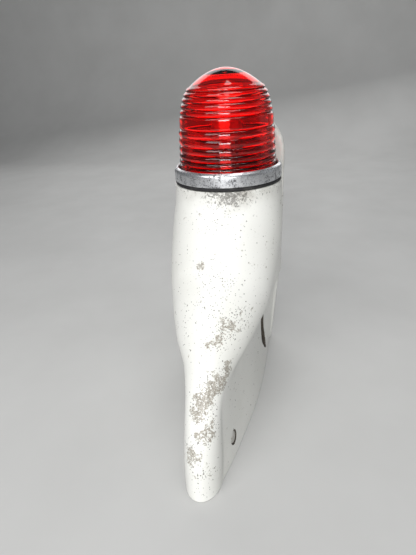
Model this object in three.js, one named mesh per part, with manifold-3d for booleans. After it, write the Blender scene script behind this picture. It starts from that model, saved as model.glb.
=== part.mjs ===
// Navigation light: a cast, boat-shaped housing with a red ribbed lens on top
// and an arched shield behind it. Millimetres, +Z up. The origin is on the base
// plane, straight under the lens axis; the nose points along -Y.
import * as THREE from 'three';
import { mergeVertices } from 'three/addons/utils/BufferGeometryUtils.js';
import Module from 'manifold-3d';

const wasm = await Module();
wasm.setup();

// ---- driving dimensions -------------------------------------------------
const GAP = 0.3;              // clearance between touching pieces
const WALL = 3.5;             // thickness of the casting
const SEAT_Z = 190;           // shoulder of the housing, under the gasket
const BEZEL_RADIUS = 45;
const SPIGOT_RADIUS = 42.6;   // threaded neck that the bezel screws onto
const SPIGOT_TOP = 196;
const BEZEL_BOTTOM = SEAT_Z + 3;
const BEZEL_TOP = 204;
const LENS_RADIUS = 40.4;     // crest of the lowest lens rib
const LENS_TOP = 276;
const SHIELD_FRONT = 47.5;    // y of the shield's front face
const SHIELD_THICKNESS = 7;
const SHIELD_SHOULDER = 204;  // where the shield's arched top starts
const SHIELD_TOP = 243;
const WAIST_Z = 52;           // height at which the side walls are narrowest
const WAIST_DEPTH = 5.5;      // how far the walls pull in there
const OVERHANG_Z = 115;       // height by which they are out under the pod
const UNDERCUT = 4;           // how sharply the pod stands out over the walls in front
const UNDERCUT_FULL = -25;    // y up to which it is full
const UNDERCUT_END = 5;       // y where it has faded out
const KEEL_TOP = 148;         // where the side walls end between pod and shield
const CROWN = 34;             // depth of the rounding along that top edge
const CROWN_NARROWING = 0.7;  // share of the width's square lost at its highest point
const CROWN_POWER = 2.5;      // higher values keep the rounding near the top
const CROWN_FROM = -30;       // y where the rounding starts
const CROWN_FULL = 10;        // y from which it is complete
const WAIST_FADE = 25;        // half width of footprint under which the waist fades out
const FLARE_POWER = 1.6;      // higher values swing the walls out nearer the shield
const KEEL_NOSE = -146;       // front end of the keel inside the horn
const PLATE = 3;              // base plate thickness
const NOSE_SCREW = { y: -118.5, z: 15.5, length: 12, boss: 5 };
const REAR_SCREW = { y: 9, z: 83, length: 20, boss: 13 };
const BRACKET_Z = 168;        // underside of the socket bracket
const BRACKET_THICKNESS = 2;
const BOSS_X = 36.5;          // bosses that carry the socket bracket
const BOSS = { radius: 6.5, foot: 150, thread: 2.2 };
const SOCKET_RIVET_X = 11.6;
const SOCKET_RADIUS = 9;
const SOCKET_TOP = 205;
const CAP_RADIUS = 7.5;       // bayonet cap, 15 mm
const CAP_BOTTOM = 190;
const CAP_TOP = 209;
const PIN_Z = 197;            // locking pins of the cap
const PUSH = 2.5;             // travel of the bulb against its spring
const TWIST = THREE.MathUtils.degToRad(20);
const SIDES = 40;             // facets of the large round pieces

// centre line of the horn from the lens seat to the nose, with the half width
// and half depth of its section: y, z, width, depth
const HORN = [
  [0, 196, 45, 45], [-2, 174, 45.8, 44.6], [-13, 152, 47, 44], [-31, 133, 45.5, 42],
  [-55, 112, 41.3, 37], [-78, 100, 34.5, 29], [-98, 89, 27, 23], [-116, 77, 17.6, 17],
  [-133, 62, 13.4, 12], [-140.5, 42, 13.5, 16], [-144.5, 20, 13.9, 19], [-146.5, -2, 13.7, 20],
];
// half width of the footprint from nose to shield
const FOOTPRINT = {
  at: [-165, -156, -143, -126, -105, -82, -56, -20, 7, 30],
  value: [6, 11.5, 14.6, 18.9, 22.7, 26.7, 30.3, 32.6, 33, 33],
};
// half width of the shield from its foot to the start of the arch
const SHIELD = {
  at: [0, 16, 35, 51, 70, 108, 160, 204],
  value: [34.5, 36.5, 38, 39.4, 41.2, 43.6, 44.4, 44.8],
};

// ---- materials ----------------------------------------------------------
const finish = (color, roughness, metalness) =>
  new THREE.MeshStandardMaterial({ color, roughness, metalness });
const enamel = () => finish(0xeeefe9, 0.35, 0);
const chrome = () => finish(0xa7aab0, 0.3, 0.9);
const brass = () => finish(0xb3904a, 0.35, 0.9);
const steel = () => finish(0x9c9ea0, 0.35, 0.9);
const rubber = () => finish(0x141414, 0.8, 0);
const galvanised = () => finish(0x8f9496, 0.5, 0.8);

// ---- geometry helpers ---------------------------------------------------

/** Weld a geometry to a closed mesh of positions only, with its faces outward. */
function weld(geometry) {
  const bare = new THREE.BufferGeometry();
  bare.setAttribute('position', geometry.getAttribute('position'));
  if (geometry.index) bare.setIndex(geometry.index);
  const merged = mergeVertices(bare, 1e-4);
  const position = merged.getAttribute('position');
  const [a, b, c] = [new THREE.Vector3(), new THREE.Vector3(), new THREE.Vector3()];
  const faces = [];
  let volume = 0;
  for (let i = 0; i < merged.index.count; i += 3) {
    const [p, q, r] = [0, 1, 2].map((k) => merged.index.getX(i + k));
    if (p === q || q === r || r === p) continue;
    faces.push([p, q, r]);
    a.fromBufferAttribute(position, p);
    b.fromBufferAttribute(position, q);
    c.fromBufferAttribute(position, r);
    volume += a.dot(b.cross(c));
  }
  merged.setIndex(faces.flatMap(([p, q, r]) => (volume < 0 ? [p, r, q] : [p, q, r])));
  return merged;
}

/** A closed geometry as a solid for joining and cutting. */
function solid(geometry) {
  const mesh = weld(geometry);
  const vertProperties = new Float32Array(mesh.getAttribute('position').array);
  const triVerts = new Uint32Array(mesh.index.array);
  return new wasm.Manifold(new wasm.Mesh({ numProp: 3, vertProperties, triVerts }));
}

/** The geometry of a solid. */
function surface(body) {
  const mesh = body.getMesh();
  const geometry = new THREE.BufferGeometry();
  geometry.setAttribute('position', new THREE.BufferAttribute(mesh.vertProperties, 3));
  geometry.setIndex(new THREE.BufferAttribute(mesh.triVerts, 1));
  return geometry;
}

/** A smooth curve of value against position, held level past both its ends. */
function smooth({ at, value }) {
  const curve = new THREE.CubicInterpolant(at, value, 1);
  return (x) => curve.evaluate(THREE.MathUtils.clamp(x, at[0], at[at.length - 1]))[0];
}

/** A turned piece about the Z axis; its profile is a list of [radius, z]. */
function turned(profile, sides = SIDES) {
  const points = profile.map(([r, z]) => new THREE.Vector2(r, z));
  return new THREE.LatheGeometry(points, sides).rotateX(Math.PI / 2);
}

/** A ring about Z between two radii and two heights. */
function ring(inner, outer, bottom, top, sides = SIDES) {
  return turned([[inner, bottom], [outer, bottom], [outer, top], [inner, top],
    [inner, bottom]], sides);
}

/** A cylinder along Z, from one height to another. */
function rod(radius, bottom, top, sides = 20) {
  const height = top - bottom;
  return new THREE.CylinderGeometry(radius, radius, height, sides)
    .rotateX(Math.PI / 2).translate(0, 0, bottom + height / 2);
}

/** A box from its lowest to its highest corner. */
function block(low, high) {
  const [x, y, z] = high.map((value, i) => value - low[i]);
  return new THREE.BoxGeometry(x, y, z)
    .translate(low[0] + x / 2, low[1] + y / 2, low[2] + z / 2);
}

/** A flat shape in X and Y, raised from one height to another. */
function plate(shape, bottom, top) {
  return new THREE.ExtrudeGeometry(shape, { depth: top - bottom, bevelEnabled: false })
    .translate(0, 0, bottom);
}

function circle(x, y, radius) {
  return new THREE.Path().absarc(x, y, radius, 0, 2 * Math.PI, true);
}

/** A round wire or insulated lead through a list of points. */
function wire(points, radius, steps, sides = 8, closed = false) {
  const path = new THREE.CatmullRomCurve3(points.map((p) => new THREE.Vector3(...p)), closed);
  const section = new THREE.Shape().absarc(0, 0, radius, 0, 2 * Math.PI, false);
  return new THREE.ExtrudeGeometry(section, {
    steps, extrudePath: path, curveSegments: sides / 2, bevelEnabled: false,
  });
}

/** A closed skin through rings of points, each ring the same way round. */
function loft(rings) {
  const count = rings[0].length;
  const faces = [];
  for (let i = 0; i + 1 < rings.length; i += 1) {
    for (let j = 0; j < count; j += 1) {
      const [a, b] = [i * count + j, i * count + (j + 1) % count];
      faces.push(a, b, b + count, a, b + count, a + count);
    }
  }
  const last = (rings.length - 1) * count;
  const cap = THREE.ShapeUtils.triangulateShape(rings[0].map(flatten(rings[0])), []);
  const lid = THREE.ShapeUtils.triangulateShape(rings.at(-1).map(flatten(rings.at(-1))), []);
  cap.forEach(([a, b, c]) => faces.push(c, b, a));
  lid.forEach(([a, b, c]) => faces.push(last + a, last + b, last + c));
  const geometry = new THREE.BufferGeometry().setFromPoints(rings.flat());
  geometry.setIndex(faces);
  return geometry;
}

/** Plane coordinates of a ring's points, counted anticlockwise about its normal. */
function flatten(points) {
  const centre = new THREE.Vector3();
  points.forEach((p) => centre.addScaledVector(p, 1 / points.length));
  const normal = new THREE.Vector3();
  points.forEach((p, i) => {
    const next = points[(i + 1) % points.length];
    normal.add(p.clone().sub(centre).cross(next.clone().sub(centre)));
  });
  normal.normalize();
  const across = points[0].clone().sub(centre).projectOnPlane(normal).normalize();
  const up = normal.clone().cross(across);
  return (p) => {
    const arm = p.clone().sub(centre);
    return new THREE.Vector2(arm.dot(across), arm.dot(up));
  };
}

// ---- the outer form of the housing --------------------------------------
const footprintAt = smooth(FOOTPRINT);
const shieldAt = smooth(SHIELD);
const hornCentre = new THREE.CatmullRomCurve3(HORN.map(([y, z]) => new THREE.Vector3(0, y, z)));
const hornSize = new THREE.CatmullRomCurve3(HORN.map(([, , a, b]) => new THREE.Vector3(a, b, 0)));

/** Place on the horn's centre line at a given y: its height and half width there. */
function hornAt(y) {
  let [low, high] = [0, 1];
  for (let i = 0; i < 24; i += 1) {
    const middle = (low + high) / 2;
    if (hornCentre.getPoint(middle).y > y) low = middle;
    else high = middle;
  }
  return { z: hornCentre.getPoint(low).z, width: hornSize.getPoint(low).x };
}

/** The horn: elliptical sections square to its centre line, less an inset. */
function horn(inset, rings, sides) {
  const sections = [];
  for (let i = 0; i <= rings; i += 1) {
    const t = i / rings;
    const centre = hornCentre.getPoint(t);
    const size = hornSize.getPoint(t);
    const along = i === 0 ? new THREE.Vector3(0, 0, -1) : hornCentre.getTangent(t);
    const front = new THREE.Vector3(1, 0, 0).cross(along);
    sections.push(Array.from({ length: sides }, (_, k) => {
      const angle = (k / sides) * 2 * Math.PI;
      return centre.clone().addScaledVector(front, Math.cos(angle) * (size.y - inset))
        .add(new THREE.Vector3(Math.sin(angle) * (size.x - inset), 0, 0));
    }));
  }
  return loft(sections);
}

/** Half width of the side walls at a place along the housing and a height. */
function sideAt(y, z) {
  const foot = footprintAt(y);
  const lean = 1 - (1 - Math.min(z / WAIST_Z, 1)) ** 2;
  const waist = foot - WAIST_DEPTH * lean * Math.min(1, foot / WAIST_FADE);
  const pod = hornAt(y);
  const top = Math.min(pod.z, OVERHANG_Z);
  const undercut = UNDERCUT * (1 - THREE.MathUtils.smoothstep(y, UNDERCUT_FULL, UNDERCUT_END));
  const rise = THREE.MathUtils.smoothstep(z, WAIST_Z, Math.max(top, WAIST_Z + 1)) ** (1 + undercut);
  const wall = THREE.MathUtils.lerp(waist, Math.max(waist, pod.width), rise);
  const flare = THREE.MathUtils.clamp(y / SHIELD_FRONT, 0, 1) ** FLARE_POWER;
  return THREE.MathUtils.lerp(wall, shieldAt(z) - 2, flare);
}

/** The keel under the horn and in front of the shield, less an inset. */
function keel(inset, from, to, bottom, stations, levels) {
  const sections = [];
  for (let i = 0; i <= stations; i += 1) {
    const y = from + ((to - from) * i) / stations;
    const top = Math.min(hornAt(y).z, KEEL_TOP) - inset;
    const roundness = THREE.MathUtils.smoothstep(y, CROWN_FROM, CROWN_FULL);
    const right = Array.from({ length: levels + 1 }, (_, k) => {
      const z = bottom + ((top - bottom) * k) / levels;
      const over = THREE.MathUtils.clamp((z - top + CROWN) / CROWN, 0, 1) * roundness;
      const narrowing = Math.sqrt(1 - CROWN_NARROWING * over ** CROWN_POWER);
      const half = (sideAt(y, Math.max(z, 0)) - inset) * narrowing;
      return new THREE.Vector3(Math.max(half, 1), y, z);
    });
    const left = right.map(({ x, z }) => new THREE.Vector3(-x, y, z)).reverse();
    sections.push([...right, ...left]);
  }
  return loft(sections);
}

/** The arched shield, a flat plate that stands on the base behind the lens. */
function shield() {
  const shape = new THREE.Shape();
  shape.moveTo(-shieldAt(0), 0);
  shape.lineTo(shieldAt(0), 0);
  const levels = 8;
  for (let i = 1; i <= levels; i += 1) {
    const z = (SHIELD_SHOULDER * i) / levels;
    shape.lineTo(shieldAt(z), z);
  }
  const half = shieldAt(SHIELD_SHOULDER);
  shape.absellipse(0, SHIELD_SHOULDER, half, SHIELD_TOP - SHIELD_SHOULDER, 0, Math.PI, false);
  for (let i = levels - 1; i >= 1; i -= 1) {
    const z = (SHIELD_SHOULDER * i) / levels;
    shape.lineTo(-shieldAt(z), z);
  }
  return new THREE.ExtrudeGeometry(shape, {
    depth: SHIELD_THICKNESS, bevelEnabled: false, curveSegments: 20,
  }).rotateX(Math.PI / 2).translate(0, SHIELD_FRONT + SHIELD_THICKNESS, 0);
}

/** Where a side screw sits: its point on the wall and the wall's outward normal. */
function sidePlace({ y, z }, side) {
  const step = 0.5;
  const x = sideAt(y, z);
  const slopeY = (sideAt(y + step, z) - sideAt(y - step, z)) / (2 * step);
  const slopeZ = (sideAt(y, z + step) - sideAt(y, z - step)) / (2 * step);
  return {
    point: new THREE.Vector3(side * x, y, z),
    normal: new THREE.Vector3(side, -slopeY, -slopeZ).normalize(),
  };
}

/** A geometry made about Z, moved so that +Z looks out of the side wall. */
function onSide(geometry, screw, side) {
  const { point, normal } = sidePlace(screw, side);
  const turn = new THREE.Quaternion().setFromUnitVectors(new THREE.Vector3(0, 0, 1), normal);
  return geometry.applyQuaternion(turn).translate(point.x, point.y, point.z);
}

// ---- cast housing -------------------------------------------------------
const HOLE_RADIUS = 2.8;
const SINK_RADIUS = 6;
const SINK_DEPTH = 3.4;
const SCREW_BOSS_RADIUS = 5;
const WEB = { half: 26, front: 18, foot: 100 };   // block that joins pod and shield
const CEILING = SEAT_Z - 4;   // top of the hollow
const TOP_HOLE_RADIUS = 33;
const THROUGH = 40;           // reach of a cutter that goes right through a wall

/** The wiring opening in the right side wall, wider at its lower front. */
function wiringSlot() {
  const shape = new THREE.Shape();
  shape.moveTo(14, 8);
  shape.quadraticCurveTo(3, 14, -1, 28);
  shape.quadraticCurveTo(0, 50, 11, 72);
  shape.quadraticCurveTo(16, 55, 13, 34);
  shape.quadraticCurveTo(18, 20, 14, 8);
  return new THREE.ExtrudeGeometry(shape, { depth: 40, bevelEnabled: false, curveSegments: 6 })
    .rotateX(Math.PI / 2).rotateZ(Math.PI / 2).translate(12, 0, 0);
}

function housing() {
  const below = solid(block([-60, -200, 0], [60, 80, SEAT_Z]));
  const outer = solid(horn(0, 22, 32))
    .add(solid(keel(0, KEEL_NOSE, SHIELD_FRONT + 1, 0, 18, 8)))
    .add(solid(block([-WEB.half, WEB.front, WEB.foot], [WEB.half, SHIELD_FRONT + 1, SEAT_Z])))
    .intersect(below);
  const [hollowHalf, hollowBack] = [WEB.half - WALL, SHIELD_FRONT - WALL];
  const cavity = solid(horn(WALL, 16, 20))
    .add(solid(keel(WALL, KEEL_NOSE + 1, hollowBack, -1, 12, 6)))
    .add(solid(block([-hollowHalf, WEB.front + 2, WEB.foot - 10],
      [hollowHalf, hollowBack, CEILING])))
    .intersect(solid(block([-60, -200, -2], [60, 80, CEILING])));
  const neck = solid(ring(SPIGOT_RADIUS - WALL, SPIGOT_RADIUS, CEILING, SPIGOT_TOP));
  let body = outer.subtract(cavity).add(neck).add(solid(shield()));
  for (const side of [-1, 1]) {
    const boss = rod(BOSS.radius, BOSS.foot, BRACKET_Z - GAP).translate(side * BOSS_X, 0, 0);
    const thread = rod(BOSS.thread, BOSS.foot + 2, BRACKET_Z + 1, 12);
    body = body.add(solid(boss).intersect(outer))
      .subtract(solid(thread.translate(side * BOSS_X, 0, 0)));
    for (const screw of [NOSE_SCREW, REAR_SCREW]) {
      const screwBoss = onSide(rod(SCREW_BOSS_RADIUS, -screw.boss, -1), screw, side);
      body = body.add(solid(screwBoss).intersect(outer));
      const sink = turned([[0, -THROUGH], [HOLE_RADIUS, -THROUGH], [HOLE_RADIUS, -SINK_DEPTH],
        [SINK_RADIUS, 0], [SINK_RADIUS + 2, 2], [0, 2]], 20);
      body = body.subtract(solid(onSide(sink, screw, side)));
    }
  }
  body = body.subtract(solid(rod(TOP_HOLE_RADIUS, CEILING - 2, SEAT_Z + 1, SIDES)));
  body = body.subtract(solid(wiringSlot()));
  return surface(body);
}

// ---- base plate and its straps ------------------------------------------
const STRAP = 2;              // thickness of a strap
const STRAP_WIDTH = 12;
const NOSE_STRAP = { half: 11.6, height: 22 };
const REAR_STRAP = { half: 22, height: 96 };
const RIVETS = [[-6, NOSE_SCREW.y], [6, NOSE_SCREW.y], [-14, REAR_SCREW.y], [14, REAR_SCREW.y]];
const RIVET_RADIUS = 1.5;
const FIXING_HOLES = [[0, -134], [0, -88], [-24, 34], [24, 34]];
const FIXING_RADIUS = 2.75;
const CABLE = { y: -20, hole: 6.5, lip: 8.5, groove: 6.2, bore: 4 };

function basePlate() {
  const edge = WALL + 0.6;
  const [front, back, stations] = [-147, SHIELD_FRONT - WALL - 0.6, 16];
  const shape = new THREE.Shape();
  const spots = Array.from({ length: stations + 1 },
    (_, i) => front + ((back - front) * i) / stations);
  spots.forEach((y, i) => {
    if (i === 0) shape.moveTo(sideAt(y, PLATE) - edge, y);
    else shape.lineTo(sideAt(y, PLATE) - edge, y);
  });
  spots.reverse().forEach((y) => shape.lineTo(edge - sideAt(y, PLATE), y));
  shape.holes.push(circle(0, CABLE.y, CABLE.hole));
  for (const [x, y] of FIXING_HOLES) shape.holes.push(circle(x, y, FIXING_RADIUS));
  for (const [x, y] of RIVETS) shape.holes.push(circle(x, y, RIVET_RADIUS + GAP));
  return plate(shape, 0, PLATE);
}

/** A U-shaped strap whose two legs take the side screws. */
function strap({ half, height }, screw) {
  const foot = PLATE + GAP;
  const shape = new THREE.Shape([
    [-half, foot], [half, foot], [half, height], [half - STRAP, height],
    [half - STRAP, foot + STRAP], [STRAP - half, foot + STRAP],
    [STRAP - half, height], [-half, height],
  ].map(([x, z]) => new THREE.Vector2(x, z)));
  let body = solid(new THREE.ExtrudeGeometry(shape, { depth: STRAP_WIDTH, bevelEnabled: false })
    .rotateX(Math.PI / 2).translate(0, screw.y + STRAP_WIDTH / 2, 0));
  for (const side of [-1, 1]) {
    body = body.subtract(solid(onSide(rod(HOLE_RADIUS, -THROUGH, 2, 16), screw, side)));
  }
  for (const [x, y] of RIVETS.filter((spot) => spot[1] === screw.y)) {
    body = body.subtract(solid(rod(RIVET_RADIUS + GAP, 0, foot + STRAP + 1, 12).translate(x, y, 0)));
  }
  return surface(body);
}

function strapRivet() {
  const top = PLATE + GAP + STRAP + GAP;
  const head = 3;
  return turned([[0, 0.4], [RIVET_RADIUS, 0.4], [RIVET_RADIUS, top], [head, top],
    [head - 0.6, top + 1.2], [0, top + 1.6]], 16);
}

/** A countersunk screw with a slotted head, its face just under the wall's surface. */
function sideScrew(screw, side) {
  const face = -0.5;
  const radius = SINK_RADIUS - 1.3;
  const profile = [[0, -screw.length], [2, -screw.length], [2.4, 1 - screw.length],
    [2.4, face - 3], [radius, face - 0.4], [radius, face], [0, face]];
  const slot = block([-0.6, -8, face - 1.2], [0.6, 8, 1]);
  return onSide(surface(solid(turned(profile, 20)).subtract(solid(slot))), screw, side);
}

/** Rubber bush in the base plate's cable hole. */
function grommet() {
  const { lip, groove, bore } = CABLE;
  return turned([[bore, 0.6], [groove, 0.6], [groove, PLATE + GAP], [lip, PLATE + GAP],
    [lip, PLATE + 2.4], [bore, PLATE + 2.4], [bore, 0.6]], 24).translate(0, CABLE.y, 0);
}

// ---- bezel, gaskets and lens --------------------------------------------
const RING_BORE = SPIGOT_RADIUS + 0.4;
const FLANGE_BOTTOM = SPIGOT_TOP + 1.5;
const FLANGE_TOP = 201;

function bezel() {
  const lip = LENS_RADIUS + 0.9;
  return turned([[RING_BORE, BEZEL_BOTTOM], [BEZEL_RADIUS, BEZEL_BOTTOM],
    [BEZEL_RADIUS, BEZEL_TOP - 2.4], [BEZEL_RADIUS - 0.8, BEZEL_TOP - 1.2],
    [lip + 0.8, BEZEL_TOP], [lip, BEZEL_TOP - 0.6], [lip, FLANGE_TOP + GAP],
    [RING_BORE, FLANGE_TOP + GAP], [RING_BORE, BEZEL_BOTTOM]], 56);
}

/** Outer outline of the lens: lower ribs, plain belt, upper ribs and dome. */
function lensOutline() {
  const outline = [[SPIGOT_RADIUS - GAP, FLANGE_BOTTOM], [SPIGOT_RADIUS - GAP, FLANGE_TOP],
    [LENS_RADIUS - 0.2, FLANGE_TOP]];
  const groove = 1.6;
  const ribs = (count, heightAt, radiusAt) => {
    for (let i = 0; i < count; i += 1) {
      const valley = (heightAt(i - 1) + heightAt(i)) / 2;
      outline.push([radiusAt(i) - groove, valley], [radiusAt(i), heightAt(i)]);
    }
  };
  ribs(6, (i) => 204.5 + 3.31 * i + 0.39 * i * i, (i) => LENS_RADIUS - 0.24 * i);
  outline.push([38, 233.6], [38.2, 238], [37.6, 242]);
  ribs(5, (i) => 245.4 + 4.9 * i - 0.2 * i * i, (i) => 37 - 0.6 * i - 0.24 * i * i);
  const dome = { radius: 28, height: 12.4, power: 1.9, steps: 7 };
  for (let i = dome.steps; i >= 0; i -= 1) {
    const share = i / dome.steps;
    outline.push([dome.radius * share, LENS_TOP - dome.height * share ** dome.power]);
  }
  return outline;
}

function lens() {
  const inside = [[0, LENS_TOP - 4], [13, LENS_TOP - 6.6], [22.5, LENS_TOP - 12.5], [28.6, 256],
    [32.6, 245], [35, 226], [36, FLANGE_BOTTOM]];
  return turned([...lensOutline(), ...inside, [SPIGOT_RADIUS - GAP, FLANGE_BOTTOM]], 36);
}

// ---- bulb, socket and bracket -------------------------------------------
function bulbGlass() {
  const wall = 0.8;
  const [neck, widest, centre] = [6.8, 13.2, 231];
  const outside = [];
  const inside = [];
  for (let i = 0; i <= 8; i += 1) {
    const angle = -1.02 + (i / 8) * (Math.PI / 2 + 1.02);
    const [c, s] = [Math.cos(angle), Math.sin(angle)];
    outside.push([widest * c, centre + widest * s]);
    inside.unshift([(widest - wall) * c, centre + (widest - wall) * s]);
  }
  outside[outside.length - 1][0] = 0;
  inside[0][0] = 0;
  const foot = CAP_TOP + GAP;
  return turned([[neck - wall, foot], [neck, foot], [neck, foot + 7], ...outside, ...inside,
    [neck - wall, foot + 7], [neck - wall, foot]], 20);
}

function bulbCap() {
  const shell = solid(turned([[0, CAP_BOTTOM], [6.2, CAP_BOTTOM], [CAP_RADIUS, CAP_BOTTOM + 1.2],
    [CAP_RADIUS, CAP_TOP], [0, CAP_TOP]], 28));
  const pins = solid(rod(1, -8.7, 8.7, 12).rotateY(Math.PI / 2).translate(0, 0, PIN_Z));
  return surface(shell.add(pins));
}

/** Glass stem with the two support wires of the filament. */
function filamentStem() {
  const foot = CAP_TOP + GAP;
  let body = solid(turned([[0, foot], [3.4, foot], [3, foot + 3], [1.6, foot + 9],
    [0, foot + 9]], 16));
  for (const side of [-1, 1]) {
    body = body.add(solid(rod(0.45, foot + 6, 231, 8).rotateY(side * 0.16)
      .translate(side * -35.2, 0, 3.4)));
  }
  return surface(body);
}

function filament() {
  const points = [];
  const [turns, span, radius, height] = [5, 6.8, 0.9, 236];
  for (let i = 0; i <= turns * 6; i += 1) {
    const angle = (i / 6) * 2 * Math.PI;
    points.push([span * (i / (turns * 6) - 0.5), radius * Math.cos(angle),
      height + radius * Math.sin(angle)]);
  }
  return wire(points, 0.25, 60, 4);
}

function contactDisc() {
  const top = CAP_BOTTOM - 1.8;
  return ring(1.9, 7.3, top - 3, top, 24);
}

/** Brass contact that slides with the disc and meets the bulb's solder tip. */
function contactPlunger() {
  const top = CAP_BOTTOM - GAP;
  const disc = CAP_BOTTOM - 1.8;
  return turned([[0, disc - 4.5], [1.6, disc - 4.5], [1.6, disc + GAP], [2.6, disc + GAP],
    [2.2, top], [0, top]], 16);
}

function socketSpring() {
  const [bottom, top, radius, turns] = [176.2, 184.2, 5.2, 5];
  const points = [];
  for (let i = 0; i <= turns * 12; i += 1) {
    const angle = (i / 12) * 2 * Math.PI;
    points.push([radius * Math.cos(angle), radius * Math.sin(angle),
      bottom + ((top - bottom) * i) / (turns * 12)]);
  }
  return wire(points, 0.45, 60, 6);
}

/** Socket tube with its foot flange and the two bayonet openings. */
function socketShell() {
  const foot = BRACKET_Z + BRACKET_THICKNESS + GAP;
  const bore = SOCKET_RADIUS - 0.9;
  let body = solid(turned([[bore, foot], [14, foot], [14, foot + 1], [SOCKET_RADIUS, foot + 1],
    [SOCKET_RADIUS, SOCKET_TOP], [bore, SOCKET_TOP], [bore, foot]], SIDES));
  const window = new THREE.Shape();
  const [near, far] = [3, 12];
  const spread = 0.16;
  window.moveTo(near, -near * spread);
  window.lineTo(far, -far * spread);
  window.lineTo(far * Math.cos(TWIST), far * (Math.sin(TWIST) + spread));
  window.lineTo(near * Math.cos(TWIST), near * (Math.sin(TWIST) + spread));
  const channel = new THREE.Shape();
  const slot = 0.17;
  channel.moveTo(near * Math.cos(TWIST - slot), near * Math.sin(TWIST - slot));
  channel.lineTo(far * Math.cos(TWIST - slot), far * Math.sin(TWIST - slot));
  channel.lineTo(far * Math.cos(TWIST + slot), far * Math.sin(TWIST + slot));
  channel.lineTo(near * Math.cos(TWIST + slot), near * Math.sin(TWIST + slot));
  for (const turn of [0, Math.PI]) {
    const travel = plate(window, PIN_Z - PUSH - 1.5, PIN_Z + 1.5).rotateZ(turn);
    const entry = plate(channel, PIN_Z - 1, SOCKET_TOP + 1).rotateZ(turn);
    body = body.subtract(solid(travel)).subtract(solid(entry));
    const hole = rod(1.5, foot - 1, foot + 2, 12).translate(SOCKET_RIVET_X, 0, 0).rotateZ(turn);
    body = body.subtract(solid(hole));
  }
  return surface(body);
}

/** Insulating plug in the foot of the socket. */
function socketBase() {
  const foot = BRACKET_Z - 2;
  return turned([[0, foot], [4.6, foot], [4.6, BRACKET_Z + BRACKET_THICKNESS + GAP],
    [7.7, BRACKET_Z + BRACKET_THICKNESS + GAP], [7.7, 175.4], [0, 175.4]], 24);
}

/** Brass eyelet under the socket base, where the positive lead is soldered. */
function centreTerminal() {
  const top = BRACKET_Z - 2 - GAP;
  return turned([[0, top - 2.4], [1.6, top - 2.4], [2.8, top - 0.8], [2.8, top], [0, top]], 16);
}

function socketBracket() {
  const [half, width] = [41, 8];
  const shape = new THREE.Shape();
  shape.moveTo(-half + width, -width);
  shape.lineTo(half - width, -width);
  shape.absarc(half - width, 0, width, -Math.PI / 2, Math.PI / 2, false);
  shape.lineTo(-half + width, width);
  shape.absarc(-half + width, 0, width, Math.PI / 2, 1.5 * Math.PI, false);
  shape.holes.push(circle(0, 0, 5.2));
  for (const side of [-1, 1]) {
    shape.holes.push(circle(side * BOSS_X, 0, 2.2), circle(side * SOCKET_RIVET_X, 0, 1.5));
  }
  return plate(shape, BRACKET_Z, BRACKET_Z + BRACKET_THICKNESS);
}

/** A slotted pan-head screw, pointing down from the seat of its head at z = 0. */
function panScrew(length, shank, head) {
  const body = solid(turned([[0, -length], [shank, -length], [shank, 0],
    [head, 0], [head, 1.4], [head * 0.6, 2.2], [0, 2.2]], 16));
  const slot = block([-0.5, -head - 1, 1.2], [0.5, head + 1, 3]);
  return surface(body.subtract(solid(slot)));
}

/** Tubular rivet that holds the socket's foot flange to the bracket. */
function socketRivet() {
  const [low, high] = [BRACKET_Z - GAP, BRACKET_Z + BRACKET_THICKNESS + 1.3 + GAP];
  return turned([[0, low - 1], [1.9, low - 1], [2.2, low], [1.2, low], [1.2, high],
    [2.4, high], [1.9, high + 0.9], [0, high + 0.9]], 14);
}

const TAG = 0.7;

/** Tinned tag under the left bracket screw, for the negative lead. */
function earthTag() {
  const bottom = BRACKET_Z + BRACKET_THICKNESS + GAP;
  const shape = new THREE.Shape();
  shape.absarc(0, 0, 3.4, -1.24, 2 * Math.PI - 1.9, false);
  shape.lineTo(-1.1, -12.4);
  shape.lineTo(1.1, -12.4);
  shape.holes.push(circle(0, 0, 2.1));
  return plate(shape, bottom, bottom + TAG).translate(-BOSS_X, 0, 0);
}

// ---- terminal block and leads -------------------------------------------
const TERMINAL = { y: -48, depth: 14, half: 14, height: 13, pitch: 7 };

function terminalBlock() {
  const floor = PLATE + GAP;
  const { y, depth, half, height, pitch } = TERMINAL;
  let body = solid(block([-half, y, floor], [half, y + depth, floor + height]));
  for (const side of [-1, 1]) {
    const x = side * pitch;
    body = body.subtract(solid(rod(1.9, -1, depth + 1, 12).rotateX(-Math.PI / 2)
      .translate(x, y, floor + 6)));
    body = body.subtract(solid(rod(2.4, floor + 8.4, floor + height + 1, 12)
      .translate(x, y + depth / 2, 0)));
  }
  body = body.subtract(solid(rod(1.8, floor - 1, floor + height + 1, 12)
    .translate(0, y + depth / 2, 0)));
  return surface(body);
}

/** Grub screw that clamps a lead in the terminal block. */
function terminalScrew() {
  const length = 3.6;
  const slot = block([-0.4, -3, length - 1], [0.4, 3, length + 1]);
  return surface(solid(rod(2, 0, length, 16)).subtract(solid(slot)));
}

/** An insulated lead from its upper end down into the terminal block. */
function lead(start, side) {
  const floor = PLATE + GAP;
  const x = side * TERMINAL.pitch;
  return wire([start, [start[0], start[1], start[2] - 8], [x + start[0] * 0.5, -14, 120],
    [x, -16, 70], [x, -14, 28], [x, -22, floor + 8], [x, -30, floor + 6],
    [x, TERMINAL.y + TERMINAL.depth - 4, floor + 6]], 1.3, 40, 8);
}

// ---- the assembly -------------------------------------------------------
const light = new THREE.Group();

function add(name, geometry, material, x = 0, y = 0, z = 0) {
  const shape = geometry.index ? geometry.toNonIndexed() : geometry;
  shape.computeVertexNormals();
  const mesh = new THREE.Mesh(shape, material);
  mesh.name = name;
  mesh.position.set(x, y, z);
  light.add(mesh);
}

const SIDE_NAMES = { left: -1, right: 1 };

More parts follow.
